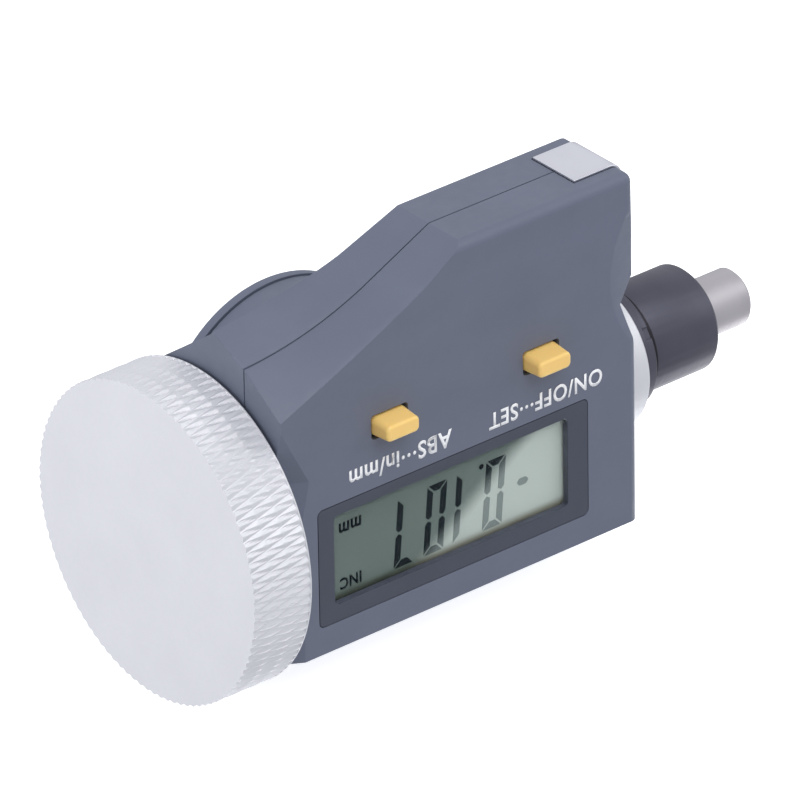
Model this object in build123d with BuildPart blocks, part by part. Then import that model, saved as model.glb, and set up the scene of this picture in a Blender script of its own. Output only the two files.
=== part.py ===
"""Digital micrometer head with a large knurled thimble.

Frame, in millimetres: the spindle lies along X and pushes out towards -X, the display
faces -Y, and +Z is up when the display is read. The origin is on the spindle's axis, at
the inner end of the 12 mm mounting stem.
"""

import os
from math import cos, radians, sin

from build123d import *

os.makedirs("parts", exist_ok=True)

# ---------------------------------------------------------------- driving dimensions

# Spindle line, from the measuring face to the thimble's end face.
STEM_R = 6.0
STEM_LENGTH = 9.55
STEM_SHANK_R = 5.0
RING_SEAT_R = 5.5
RING_X0 = 0.0
RING_X1 = 2.15
RING_R = 6.9
FLANGE_R = 8.3
FLANGE_LENGTH = 5.75
SPINDLE_R = 3.25
SPINDLE_SCREW_R = 3.0
SPINDLE_END = -16.4
SPINDLE_SHOULDER = 21.5
SPINDLE_REAR = 57.0
TIP_LENGTH = 1.5
TRAVEL = 25.0
RUN = 0.05

# Housing: two shells that meet on a plane across Y.
HOUSING_X0 = 7.97
HOUSING_X1 = 55.8
HOUSING_TOP = 12.6
WING_Z = -28.9
WING_CORNER_X = 31.1
WING_ROUND = 1.2
# The waist between the wing and the thimble, as (start, pull, end) of a curve in (x, z),
# on the display face, at the front shell's hollow, on the parting plane and on the wing's
# rear face.
WAIST_FRONT = ((36.0, -25.6), (43.8, -21.5), (HOUSING_X1, -16.6))
WAIST_HOLLOW = ((37.4, -25.2), (45.0, -21.4), (HOUSING_X1, -18.1))
WAIST_PARTING = ((40.0, -24.6), (47.5, -21.15), (HOUSING_X1, -20.75))
WAIST_REAR = ((39.0, -25.9), (44.8, -24.05), (HOUSING_X1, -22.95))
FRONT_Y = -13.0
PARTING_Y = -6.9
WING_REAR_Y = -1.9
BODY_REAR_Y = 8.0
WALL = 1.6
# The button face tilts back from the display face, beyond a crease from (x, z) to (x, z).
CREASE_START = (15.0, -5.0)
CREASE_END = (52.35, -8.7)
CREASE_SLOPE = 0.02
WEDGE_REACH = 40.0

# Thimble.
THIMBLE_R = 18.0
THIMBLE_X0 = 56.1
THIMBLE_X1 = 63.7

# Display.
BEZEL_X = (14.9, 51.35)
BEZEL_Z = (-4.7, 9.4)
BEZEL_DEPTH = 0.9
BEZEL_ROUND = 0.6
VIEW_X = (17.7, 49.2)
VIEW_Z = (-3.3, 7.3)
LCD_X = (17.0, 49.9)
LCD_Z = (-3.9, 7.9)
LCD_Y = (-11.95, -10.35)
BOARD_X = (16.0, 49.4)
BOARD_Z = (-14.6, 10.2)
BOARD_Y = (-9.2, -8.2)

# Buttons.
BUTTON_X = (21.1, 41.5)
BUTTON_NAMES = ("power_button", "mode_button")
BUTTON_WIDTH = 4.7
BUTTON_Z = (-13.1, -10.5)
BUTTON_FRONT_Y = -15.25
BUTTON_TAPER = 0.4
BUTTON_ROUND = 0.8
BUTTON_EDGE_R = 0.35
BUTTON_GAP = 0.12
BUTTON_TRAVEL = 0.5

# Battery compartment, on an axis along Y.
BATTERY_X = 36.9
BATTERY_Z = -1.8
BATTERY_R = 10.0
BATTERY_Y = (8.3, 11.5)
BOSS_R = 14.25
BOSS_TOP_Y = 11.6
COVER_R = 14.4
COVER_TOP_Y = 13.2
PLUG_R = 11.9
LUG_R = 12.6
LUG_COUNT = 3

# Screws that close the housing, placed as (x, z), and how far each post runs.
SCREW_PLACES = ((19.0, -24.5), (13.6, 9.2), (52.1, 9.2), (50.0, -16.4))
FRONT_POST_Y = (-11.6, -11.6, -11.6, -11.0)
REAR_POST_Y = (WING_REAR_Y - 0.8, 7.0, 7.0, 1.0)
SCREW_R = 0.8
SCREW_HEAD_R = 1.4
SCREW_SEAT_Y = -3.4
SCREW_END_Y = -10.4
BOSS_FRONT_R = 1.6
BOSS_REAR_R = 2.0
BOARD_SCREW_X = (30.5, 46.6)
BOARD_SCREW_Z = -13.0

# The drive inside the sleeve, along X.
SLEEVE_R = 6.4
SLEEVE_CUP_R = 6.9
SLEEVE_CUP_X = (44.0, 49.7)
NUT_R = 4.2
NUT_SEAT_R = 3.9
NUT_X = (23.5, 61.2)
BEARING_X = (46.45, 48.95)
BEARING_R = 6.0
BALL_R = 0.42
BALL_COUNT = 12


# ---------------------------------------------------------------- shared helpers

def along_x(x):
    """A sketch plane square to the spindle at x, drawn in (y, z)."""
    return Plane(origin=(x, 0, 0), x_dir=(0, 1, 0), z_dir=(1, 0, 0))


def along_y(y):
    """A sketch plane square to Y at y, drawn in (x, z) and growing towards -Y."""
    return Plane(origin=(0, y, 0), x_dir=(1, 0, 0), z_dir=(0, -1, 0))


def tube(x0, x1, outer, inner=0.0, mode=Mode.ADD):
    """A round bar or tube along the spindle's axis, joined to the current part."""
    with BuildSketch(along_x(x0)) as profile:
        Circle(outer)
        if inner > 0:
            Circle(inner, mode=Mode.SUBTRACT)
    extrude(profile.sketch, amount=x1 - x0, mode=mode)


def block(x_span, y_span, z_span, radius=0.0, mode=Mode.ADD):
    """A box given by its limits, with corners rounded about Y when a radius is given."""
    width = x_span[1] - x_span[0]
    height = z_span[1] - z_span[0]
    with BuildSketch(along_y(y_span[1])) as profile:
        with Locations((sum(x_span) / 2, sum(z_span) / 2)):
            if radius > 0:
                RectangleRounded(width, height, radius)
            else:
                Rectangle(width, height)
    extrude(profile.sketch, amount=y_span[1] - y_span[0], mode=mode)


def disc(x, z, y_span, outer, inner=0.0, mode=Mode.ADD):
    """A round bar or ring along Y, joined to the current part."""
    with BuildSketch(along_y(y_span[1])) as profile:
        with Locations((x, z)):
            Circle(outer)
            if inner > 0:
                Circle(inner, mode=Mode.SUBTRACT)
    extrude(profile.sketch, amount=y_span[1] - y_span[0], mode=mode)


def housing_outline(y, waist, inset=0.0):
    """The housing's outline seen along Y, with one of its waists, moved inwards by the inset."""
    def inwards(point, across, up):
        return (point[0] - across * inset, point[1] + up * inset)

    wing_corner = inwards((WING_CORNER_X, WING_Z), 0.23, 1.0)
    waist_start = inwards(waist[0], 0.44, 0.90)
    waist_pull = inwards(waist[1], 0.27, 0.97)
    cap_corner = inwards(waist[2], 1.0, 1.0)
    left = HOUSING_X0 + inset
    top = HOUSING_TOP - inset
    with BuildSketch(along_y(y)) as outline:
        with BuildLine():
            Polyline(cap_corner, (cap_corner[0], top), (left, top), (left, wing_corner[1]),
                     wing_corner, waist_start)
            Bezier(waist_start, waist_pull, cap_corner)
        make_face()
    return outline.sketch


def end_edges(shell, axis, low, high):
    """The edges on a shell's stem end whose middles lie between two values on another axis."""
    on_end = shell.edges().filter_by_position(Axis.X, HOUSING_X0 - RUN, HOUSING_X0 + RUN)
    return on_end.filter_by_position(axis, low - RUN, high + RUN)


def button_face_tool():
    """A wedge with its thin edge on the crease, which opens towards the wing."""
    start = Vector(CREASE_START[0], FRONT_Y, CREASE_START[1])
    crease = (Vector(CREASE_END[0], FRONT_Y, CREASE_END[1]) - start).normalized()
    away = crease.cross(Vector(0, -1, 0))
    reach = WEDGE_REACH
    with BuildPart() as tool:
        with BuildSketch(Plane(origin=start - crease * reach, x_dir=away, z_dir=crease)):
            with BuildLine():
                Polyline((0, 0), (reach, CREASE_SLOPE * reach), (reach, -1), (0, -1), close=True)
            make_face()
        extrude(amount=3 * reach)
    return tool.part


def ring_sector(y, outer, inner, half_angle, heading):
    """A sector of a ring about the battery's axis, on the plane across Y at y."""
    centre = (BATTERY_X, BATTERY_Z)
    corners = [centre]
    for turn in (-half_angle, half_angle):
        angle = radians(heading + turn)
        corners.append((centre[0] + 2 * outer * cos(angle), centre[1] + 2 * outer * sin(angle)))
    with BuildSketch(along_y(y)) as sector:
        with Locations(centre):
            Circle(outer)
            Circle(inner, mode=Mode.SUBTRACT)
        with BuildLine():
            Polyline(*corners, close=True)
        make_face(mode=Mode.INTERSECT)
    return sector.sketch


def save(piece, name):
    """Label a finished piece and write it out."""
    piece.part.label = name
    export_step(piece.part, f"parts/{name}.step")


# ---------------------------------------------------------------- cuts shared by both shells

POCKET_X1 = 14.3
POCKET_Y = (-10.3, -3.3)
POCKET_DEPTH = 1.2
POCKET_DROP = 3.8
CONTACT_X = (10.4, 13.2)
CONTACT_Y = (-9.2, -4.4)
CONTACT_DEPTH = 2.8


def cut_data_port():
    """The pocket for the data port's cover and contacts, cut from the current shell."""
    outside_x = HOUSING_X0 - 1
    outside_z = WING_Z - 1
    block((outside_x, POCKET_X1), POCKET_Y, (outside_z, WING_Z + POCKET_DEPTH), mode=Mode.SUBTRACT)
    block((outside_x, HOUSING_X0 + POCKET_DEPTH), POCKET_Y, (outside_z, WING_Z + POCKET_DROP),
          mode=Mode.SUBTRACT)
    block(CONTACT_X, CONTACT_Y, (outside_z, WING_Z + CONTACT_DEPTH), mode=Mode.SUBTRACT)


def cut_spindle_holes():
    """The holes for the sleeve's nose and the drive nut, cut from the current shell."""
    tube(HOUSING_X0 - 1, 11.0, 6.5, mode=Mode.SUBTRACT)
    tube(HOUSING_X1 - 3, HOUSING_X1 + 1, 5.2, mode=Mode.SUBTRACT)


# ---------------------------------------------------------------- front shell

FRONT_ROUND = 1.05
# The scoop on the stem end's front edge, as it meets the two faces.
SCOOP_Z = -18.0
SCOOP_HALF = 10.5
SCOOP_WIDTH = 4.8
SCOOP_FALL = 1.0
# The notch beside the flange, as (x beyond the end, z).
NOTCH = ((-1.0, -7.4), (0.0, -7.4), (0.25, -8.7), (2.1, -13.9), (0.0, -16.6), (-1.0, -16.6))
# The facets that ease the front down to the thimble, beyond a line given as (x, z).
EASE_LINE = ((HOUSING_X1 + 0.2, -16.4), CREASE_END, (53.3, -4.4), (53.3, 14.0))
EASE_DEPTH = 2.0
EASE_RUN = 3.45
# The hollow's floor, and the deeper hollow behind the display.
HOLLOW_Y = -10.9
DISPLAY_HOLLOW_X = (HOUSING_X0 + 4.0, HOUSING_X1 - 1.5 * WALL)
DISPLAY_HOLLOW_Y = -11.4
DISPLAY_HOLLOW_Z = (-8.7, HOUSING_TOP - WALL)
# The fine open line between the shells, as its width and its depth.
LINE_WIDTH = 0.16
LINE_DEPTH = 0.5


def scoop_tool():
    """A large round bar set across the front edge of the stem end."""
    reach = (SCOOP_WIDTH ** 2 + SCOOP_FALL ** 2) ** 0.5
    bite = SCOOP_WIDTH * SCOOP_FALL / reach
    outward = Vector(-SCOOP_FALL / reach, -SCOOP_WIDTH / reach, 0)
    along = Vector(SCOOP_WIDTH / reach, -SCOOP_FALL / reach, 0)
    radius = (SCOOP_HALF ** 2 + bite ** 2) / (2 * bite)
    centre = Vector(HOUSING_X0, FRONT_Y, SCOOP_Z) + outward * (radius - bite)
    with BuildPart(Plane(origin=centre, x_dir=(0, 0, 1), z_dir=along)) as tool:
        Cylinder(radius, 40)
    return tool.part


with BuildPart() as front_shell:
    loft([housing_outline(PARTING_Y, WAIST_PARTING), housing_outline(FRONT_Y, WAIST_FRONT)],
         ruled=True)
    fillet(end_edges(front_shell, Axis.Z, WING_Z, WING_Z), WING_ROUND)
    add(button_face_tool(), mode=Mode.SUBTRACT)
    for depth, shift in ((0, 0), (EASE_DEPTH, EASE_RUN)):
        with BuildSketch(along_y(FRONT_Y + depth)):
            with BuildLine():
                Polyline(*[(x + shift, z) for x, z in EASE_LINE],
                         (HOUSING_X1 + 8, EASE_LINE[-1][1]), (HOUSING_X1 + 8, EASE_LINE[0][1]),
                         close=True)
            make_face()
    loft(ruled=True, mode=Mode.SUBTRACT)
    fillet(end_edges(front_shell, Axis.Y, FRONT_Y, FRONT_Y + 0.6), FRONT_ROUND)
    add(scoop_tool(), mode=Mode.SUBTRACT)

    with BuildSketch(along_y(-8.0)):
        with BuildLine():
            Polyline(*[(HOUSING_X0 + x, z) for x, z in NOTCH], close=True)
        make_face()
    extrude(amount=-8.0 - FRONT_Y + 1, mode=Mode.SUBTRACT)
    # The hollow, deeper behind the display than behind the button face.
    with BuildSketch(along_y(PARTING_Y)) as hollow:
        add(housing_outline(PARTING_Y, WAIST_HOLLOW, WALL))
        with Locations((HOUSING_X0, -12.0)):
            Rectangle(8.0, 13.0, mode=Mode.SUBTRACT)
    extrude(hollow.sketch, amount=PARTING_Y - HOLLOW_Y, mode=Mode.SUBTRACT)
    block(DISPLAY_HOLLOW_X, (DISPLAY_HOLLOW_Y, PARTING_Y), DISPLAY_HOLLOW_Z, mode=Mode.SUBTRACT)
    block((HOUSING_X0 + WALL, 12.2), (-9.6, PARTING_Y), (-11.5, 10.0), mode=Mode.SUBTRACT)
    with BuildSketch(along_y(PARTING_Y)) as rim:
        add(housing_outline(PARTING_Y, WAIST_PARTING))
        add(housing_outline(PARTING_Y, WAIST_PARTING, LINE_DEPTH), mode=Mode.SUBTRACT)
    extrude(rim.sketch, amount=LINE_WIDTH, mode=Mode.SUBTRACT)
    # Screw posts with pilot holes.
    for (place_x, place_z), post_y in zip(SCREW_PLACES, FRONT_POST_Y):
        disc(place_x, place_z, (post_y, PARTING_Y), BOSS_FRONT_R)
    for place_x, place_z in SCREW_PLACES:
        disc(place_x, place_z, (SCREW_END_Y - 0.4, PARTING_Y), SCREW_R, mode=Mode.SUBTRACT)
    for place_x in BOARD_SCREW_X:
        disc(place_x, BOARD_SCREW_Z, (-11.2, BOARD_Y[0] - RUN), 1.3)
        disc(place_x, BOARD_SCREW_Z, (-10.4, BOARD_Y[0]), 0.6, mode=Mode.SUBTRACT)
    # The display's window seat and the opening behind it.
    block(BEZEL_X, (FRONT_Y - 1, FRONT_Y + BEZEL_DEPTH), BEZEL_Z, BEZEL_ROUND + 0.1,
          mode=Mode.SUBTRACT)
    block((LCD_X[0] - 0.2, LCD_X[1] + 0.2), (FRONT_Y - 1, PARTING_Y),
          (LCD_Z[0] - 0.2, LCD_Z[1] + 0.2), mode=Mode.SUBTRACT)
    for button_x in BUTTON_X:
        half = BUTTON_WIDTH / 2 + BUTTON_GAP
        block((button_x - half, button_x + half), (FRONT_Y - 1, PARTING_Y),
              (BUTTON_Z[0] - BUTTON_GAP, BUTTON_Z[1] + BUTTON_GAP), BUTTON_ROUND / 2,
              mode=Mode.SUBTRACT)
    cut_data_port()
    cut_spindle_holes()

save(front_shell, "front_shell")


# ---------------------------------------------------------------- rear shell

# The body behind the wing, in section across the spindle, as (y, z).
BODY_SECTION = (
    (PARTING_Y, HOUSING_TOP),
    (BODY_REAR_Y, HOUSING_TOP),
    (BODY_REAR_Y, -15.4),
    (WING_REAR_Y, WAIST_REAR[2][1] + 0.2),
    (PARTING_Y, WAIST_PARTING[2][1] + 0.2),
)
PLUG_GAP = 0.1
LIP_Y = 10.7
LUG_Y = (9.6, 10.5)
LUG_HALF_ANGLE = 14.0
ENTRY_HALF_ANGLE = 17.0
COVER_TURN = -45.0
SEAL_R = 13.3
SEAL_SECTION_R = 0.35

with BuildPart() as rear_shell:
    loft([housing_outline(WING_REAR_Y, WAIST_REAR), housing_outline(PARTING_Y, WAIST_PARTING)],
         ruled=True)
    fillet(end_edges(rear_shell, Axis.Z, WING_Z, WING_Z), WING_ROUND)
    with BuildSketch(along_x(HOUSING_X0)):
        with BuildLine():
            Polyline(*BODY_SECTION, close=True)
        make_face()
    extrude(amount=HOUSING_X1 - HOUSING_X0)
    rear_edges = rear_shell.edges().filter_by(Axis.X).group_by(Axis.Y)[-1]
    fillet(rear_edges, 1.2)
    disc(BATTERY_X, BATTERY_Z, (0.0, BOSS_TOP_Y), BOSS_R)
    # The hollow, in the wing and behind the sleeve.
    extrude(housing_outline(WING_REAR_Y - WALL, WAIST_PARTING, WALL),
            amount=WING_REAR_Y - WALL - PARTING_Y, mode=Mode.SUBTRACT)
    block((HOUSING_X0 + WALL, HOUSING_X1 - WALL), (PARTING_Y, 6.4), (-12.0, HOUSING_TOP - WALL),
          mode=Mode.SUBTRACT)
    # Screw posts, each with a deep seat for its head.
    for (place_x, place_z), post_y in zip(SCREW_PLACES, REAR_POST_Y):
        disc(place_x, place_z, (PARTING_Y, post_y), BOSS_REAR_R)
    for place_x, place_z in SCREW_PLACES:
        disc(place_x, place_z, (PARTING_Y - 1, BODY_REAR_Y + 1), SCREW_R + 0.1, mode=Mode.SUBTRACT)
        disc(place_x, place_z, (SCREW_SEAT_Y, BODY_REAR_Y + 1), SCREW_HEAD_R + 0.1,
             mode=Mode.SUBTRACT)
    # Battery pocket, then the cover's bore, its bayonet groove and entry slots.
    disc(BATTERY_X, BATTERY_Z, (BODY_REAR_Y, BOSS_TOP_Y + 1), BATTERY_R + 0.4, mode=Mode.SUBTRACT)
    disc(BATTERY_X, BATTERY_Z, (9.2, BOSS_TOP_Y + 1), PLUG_R + PLUG_GAP, mode=Mode.SUBTRACT)
    disc(BATTERY_X, BATTERY_Z, (LUG_Y[0] - 0.2, LIP_Y), LUG_R + PLUG_GAP, mode=Mode.SUBTRACT)
    for lug in range(LUG_COUNT):
        entry = ring_sector(BOSS_TOP_Y + 1, LUG_R + PLUG_GAP, PLUG_R - 0.5, ENTRY_HALF_ANGLE,
                            lug * 360 / LUG_COUNT + COVER_TURN)
        extrude(entry, amount=BOSS_TOP_Y + 1.1 - LIP_Y, mode=Mode.SUBTRACT)
    disc(BATTERY_X, BATTERY_Z, (BOSS_TOP_Y - 0.6, BOSS_TOP_Y + 1), SEAL_R + 0.45, SEAL_R - 0.45,
         mode=Mode.SUBTRACT)
    tube(SLEEVE_CUP_X[0] - 0.5, SLEEVE_CUP_X[1] + 0.5, SLEEVE_CUP_R + 0.2, mode=Mode.SUBTRACT)
    cut_data_port()
    cut_spindle_holes()

save(rear_shell, "rear_shell")


# ---------------------------------------------------------------- display

with BuildPart() as display_bezel:
    block((BEZEL_X[0] + 0.1, BEZEL_X[1] - 0.1), (FRONT_Y, FRONT_Y + BEZEL_DEPTH - RUN),
          (BEZEL_Z[0] + 0.1, BEZEL_Z[1] - 0.1), BEZEL_ROUND)
    block(VIEW_X, (FRONT_Y - 1, FRONT_Y + 1), VIEW_Z, 0.5, mode=Mode.SUBTRACT)
save(display_bezel, "display_bezel")

with BuildPart() as display_window:
    block((VIEW_X[0] + RUN, VIEW_X[1] - RUN), (FRONT_Y + RUN, FRONT_Y + BEZEL_DEPTH - RUN),
          (VIEW_Z[0] + RUN, VIEW_Z[1] - RUN), 0.5)
save(display_window, "display_window")

with BuildPart() as lcd_panel:
    block(LCD_X, LCD_Y, LCD_Z)
save(lcd_panel, "lcd_panel")

HOLDER_Y = (LCD_Y[1] + RUN, BOARD_Y[0] - RUN)

with BuildPart() as lcd_frame:
    block((LCD_X[0] - 0.8, LCD_X[1] + 0.4), HOLDER_Y, (LCD_Z[0] - 1.3, LCD_Z[1] + 1.3))
    block((LCD_X[0] + 0.6, LCD_X[1] - 0.6), HOLDER_Y, (LCD_Z[0] - 0.6, LCD_Z[1] + 0.6),
          mode=Mode.SUBTRACT)
save(lcd_frame, "lcd_frame")

with BuildPart() as contact_strips:
    for strip_z in (LCD_Z[0] + 0.1, LCD_Z[1] - 0.1):
        block((LCD_X[0] + 1.0, LCD_X[1] - 1.0), HOLDER_Y, (strip_z - 0.6, strip_z + 0.6))
save(contact_strips, "contact_strips")


# ---------------------------------------------------------------- circuit board

with BuildPart() as main_board:
    block(BOARD_X, BOARD_Y, BOARD_Z, 0.8)
    for place_x in BOARD_SCREW_X:
        disc(place_x, BOARD_SCREW_Z, BOARD_Y, 0.7, mode=Mode.SUBTRACT)
save(main_board, "main_board")

with BuildPart() as controller_chip:
    block((21.0, 28.0), (BOARD_Y[1] + RUN, BOARD_Y[1] + 1.1), (-14.0, -8.0))
save(controller_chip, "controller_chip")

with BuildPart() as board_screws:
    for place_x in BOARD_SCREW_X:
        disc(place_x, BOARD_SCREW_Z, (-10.3, BOARD_Y[1] + RUN), 0.55)
        disc(place_x, BOARD_SCREW_Z, (BOARD_Y[1] + RUN, BOARD_Y[1] + 0.8), 1.1)
save(board_screws, "board_screws")

DOME_Y = (-9.9, BOARD_Y[0] - RUN)

with BuildPart() as button_domes:
    for dome_x in BUTTON_X:
        disc(dome_x, sum(BUTTON_Z) / 2, DOME_Y, 1.9)
save(button_domes, "button_domes")


# ---------------------------------------------------------------- buttons

BUTTON_BACK_Y = DOME_Y[0] - BUTTON_TRAVEL - RUN
BUTTON_LIP_Y = -10.95
BUTTON_LIP = 0.6

for button_x, button_name in zip(BUTTON_X, BUTTON_NAMES):
    with BuildPart() as button:
        height = BUTTON_Z[1] - BUTTON_Z[0]
        for plane_y, taper in ((BUTTON_LIP_Y, 0.0),
                               (BUTTON_FRONT_Y, BUTTON_TAPER)):
            with BuildSketch(along_y(plane_y)):
                with Locations((button_x, sum(BUTTON_Z) / 2)):
                    RectangleRounded(BUTTON_WIDTH - taper, height - 2 * taper,
                                     BUTTON_ROUND - taper / 2)
        loft()
        fillet(button.edges().group_by(Axis.Y)[0], BUTTON_EDGE_R)
        block((button_x - BUTTON_WIDTH / 2 - BUTTON_LIP, button_x + BUTTON_WIDTH / 2 + BUTTON_LIP),
              (BUTTON_LIP_Y + 0.1, BUTTON_BACK_Y),
              (BUTTON_Z[0] - BUTTON_LIP, BUTTON_Z[1] + BUTTON_LIP))
        block((button_x - 1.5, button_x + 1.5), (BUTTON_LIP_Y, BUTTON_LIP_Y + 0.2),
              (BUTTON_Z[0] + 0.2, BUTTON_Z[1] - 0.2))
    save(button, button_name)


# ---------------------------------------------------------------- data port

COVER_PROUD = 0.25
COVER_THICKNESS = 0.9
PORT_ROUND = 1.5
COVER_Y = (POCKET_Y[0] + 0.1, POCKET_Y[1] - 0.1)

with BuildPart() as data_port_cover:
    with BuildSketch(along_y(COVER_Y[1])):
        outer_x = HOUSING_X0 - COVER_PROUD
        outer_z = WING_Z - COVER_PROUD
        inner_x = HOUSING_X0 + COVER_THICKNESS
        inner_z = WING_Z + COVER_THICKNESS
        with BuildLine():
            Polyline((POCKET_X1 - 0.1, outer_z), (outer_x, outer_z),
                     (outer_x, WING_Z + POCKET_DROP - 0.1), (inner_x, WING_Z + POCKET_DROP - 0.1),
                     (inner_x, inner_z), (POCKET_X1 - 0.1, inner_z), close=True)
        make_face()
    extrude(amount=COVER_Y[1] - COVER_Y[0])
    corner = data_port_cover.edges().filter_by(Axis.Y).group_by(Axis.X)[0].sort_by(Axis.Z)[0:1]
    fillet(corner, PORT_ROUND)
save(data_port_cover, "data_port_cover")

CONTACT_TOP_Z = WING_Z + POCKET_DEPTH + 0.3

with BuildPart() as data_contact_block:
    block((CONTACT_X[0] + 0.1, CONTACT_X[1] - 0.1), (CONTACT_Y[0] + 0.1, CONTACT_Y[1] - 0.1),
          (CONTACT_TOP_Z, WING_Z + CONTACT_DEPTH - RUN))
save(data_contact_block, "data_contact_block")

with BuildPart() as data_contact_pins:
    for pin in range(5):
        pin_y = CONTACT_Y[0] + 0.8 + 0.8 * pin
        block((CONTACT_X[0] + 0.5, CONTACT_X[1] - 0.5), (pin_y - 0.2, pin_y + 0.2),
              (CONTACT_TOP_Z - 0.25, CONTACT_TOP_Z - 0.02))
save(data_contact_pins, "data_contact_pins")

with BuildPart() as data_flex:
    with BuildSketch(along_y(BOARD_Y[1] + 0.2)):
        with BuildLine():
            Polyline((10.9, -25.9), (12.9, -25.9), (16.6, -20.0), (19.6, -14.0), (17.0, -14.0),
                     (14.8, -19.0), close=True)
        make_face()
    extrude(amount=0.15)
save(data_flex, "data_flex")


# ---------------------------------------------------------------- battery compartment

with BuildPart() as battery:
    disc(BATTERY_X, BATTERY_Z, BATTERY_Y, BATTERY_R)
    chamfer(battery.edges().group_by(Axis.Y)[-1], 0.3)
save(battery, "battery")

with BuildPart() as battery_contact_base:
    disc(BATTERY_X, BATTERY_Z, (BODY_REAR_Y + RUN, BATTERY_Y[0] - RUN), 5.0)
save(battery_contact_base, "battery_contact_base")

with BuildPart() as battery_contact_side:
    extrude(ring_sector(11.0, BATTERY_R + 0.3, BATTERY_R + 0.08, 14.0, 0.0), amount=2.7)
save(battery_contact_side, "battery_contact_side")

COVER_BASE_Y = BOSS_TOP_Y + 0.25

with BuildPart() as battery_cover:
    disc(BATTERY_X, BATTERY_Z, (COVER_BASE_Y, COVER_TOP_Y), COVER_R)
    fillet(battery_cover.edges().group_by(Axis.Y)[-1], 0.5)
    disc(BATTERY_X, BATTERY_Z, (LUG_Y[0], COVER_BASE_Y), PLUG_R, BATTERY_R + 0.7)
    for lug in range(LUG_COUNT):
        lug_sector = ring_sector(LUG_Y[1], LUG_R, PLUG_R - 0.3, LUG_HALF_ANGLE,
                                 lug * 360 / LUG_COUNT)
        extrude(lug_sector, amount=LUG_Y[1] - LUG_Y[0])
    block((BATTERY_X - 6.0, BATTERY_X + 6.0), (COVER_TOP_Y - 0.7, COVER_TOP_Y + 1),
          (BATTERY_Z - 0.8, BATTERY_Z + 0.8), 0.79, mode=Mode.SUBTRACT)
save(battery_cover, "battery_cover")

with BuildPart() as cover_seal:
    with BuildSketch(Plane(origin=(BATTERY_X, BOSS_TOP_Y - 0.18, BATTERY_Z))):
        with Locations((SEAL_R, 0)):
            Circle(SEAL_SECTION_R)
    revolve(axis=Axis((BATTERY_X, 0, BATTERY_Z), (0, 1, 0)))
save(cover_seal, "cover_seal")


# ---------------------------------------------------------------- case screws

with BuildPart() as case_screws:
    for place_x, place_z in SCREW_PLACES:
        disc(place_x, place_z, (SCREW_END_Y, SCREW_SEAT_Y + RUN), SCREW_R - RUN)
        disc(place_x, place_z, (SCREW_SEAT_Y + RUN, SCREW_SEAT_Y + 1.3), SCREW_HEAD_R)
        block((place_x - 1.0, place_x + 1.0), (SCREW_SEAT_Y + 0.9, SCREW_SEAT_Y + 2),
              (place_z - 0.2, place_z + 0.2), mode=Mode.SUBTRACT)
        block((place_x - 0.2, place_x + 0.2), (SCREW_SEAT_Y + 0.9, SCREW_SEAT_Y + 2),
              (place_z - 1.0, place_z + 1.0), mode=Mode.SUBTRACT)
save(case_screws, "case_screws")


# ---------------------------------------------------------------- stem and sleeve

SHANK_END_X = 7.8
KEY_X = (17.0, 20.0)
KEY_HALF = 1.0
KEYWAY_X = (KEY_X[0] - 0.3, KEY_X[1] + TRAVEL + 0.5)
KEYWAY_FLOOR = 2.2

with BuildPart() as stem:
    tube(-STEM_LENGTH, 0, STEM_R)
    chamfer(stem.edges().group_by(Axis.X)[0], 0.5)
    tube(0, RING_X1, RING_SEAT_R)
    tube(RING_X1, SHANK_END_X, STEM_SHANK_R)
    tube(-STEM_LENGTH - 1, SHANK_END_X + 1, SPINDLE_R + RUN, mode=Mode.SUBTRACT)
save(stem, "stem")

with BuildPart() as stem_ring:
    tube(RING_X0, RING_X1 - RUN, RING_R, RING_SEAT_R + RUN)
    chamfer(stem_ring.edges().filter_by(GeomType.CIRCLE).sort_by(SortBy.RADIUS)[-2:], 0.25)
    for quarter in range(4):
        with BuildSketch(along_x(RING_X0)):
            with PolarLocations(RING_R, 1, start_angle=35 + 90 * quarter):
                Rectangle(0.9, 1.3)
        extrude(amount=0.9, mode=Mode.SUBTRACT)
save(stem_ring, "stem_ring")

with BuildPart() as stem_flange:
    tube(RING_X1, RING_X1 + FLANGE_LENGTH, FLANGE_R, SLEEVE_R + RUN)
    outer_rims = stem_flange.edges().filter_by(GeomType.CIRCLE).sort_by(SortBy.RADIUS)[-2:]
    chamfer(outer_rims, 0.3)
save(stem_flange, "stem_flange")

PLATE_R = 9.3
PLATE_HALF = 6.3
PLATE_X = (HOUSING_X0 + WALL + 0.1, HOUSING_X0 + WALL + 1.7)
GUIDE_END_X = 22.0
RETAINER_X = (49.0, 49.5)

with BuildPart() as spindle_sleeve:
    with BuildSketch(along_x(PLATE_X[0])):
        Circle(PLATE_R)
        Rectangle(2 * PLATE_HALF, 2 * PLATE_R, mode=Mode.INTERSECT)
    extrude(amount=PLATE_X[1] - PLATE_X[0])
    tube(RING_X1 + RUN, SLEEVE_CUP_X[0], SLEEVE_R)
    tube(*SLEEVE_CUP_X, SLEEVE_CUP_R)
    tube(RING_X1 - 1, SHANK_END_X + 0.2, STEM_SHANK_R + RUN, mode=Mode.SUBTRACT)
    tube(SHANK_END_X, GUIDE_END_X, SPINDLE_R + RUN, mode=Mode.SUBTRACT)
    tube(GUIDE_END_X, SLEEVE_CUP_X[1], NUT_R + 0.3, mode=Mode.SUBTRACT)
    tube(BEARING_X[0] - 0.45, SLEEVE_CUP_X[1] + 1, BEARING_R + RUN, mode=Mode.SUBTRACT)
    tube(RETAINER_X[0] - RUN, RETAINER_X[1] + RUN, BEARING_R + 0.35, mode=Mode.SUBTRACT)
    block(KEY_X, (-KEY_HALF, KEY_HALF), (SPINDLE_R - 0.2, SLEEVE_R + 1), mode=Mode.SUBTRACT)
save(spindle_sleeve, "spindle_sleeve")

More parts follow.
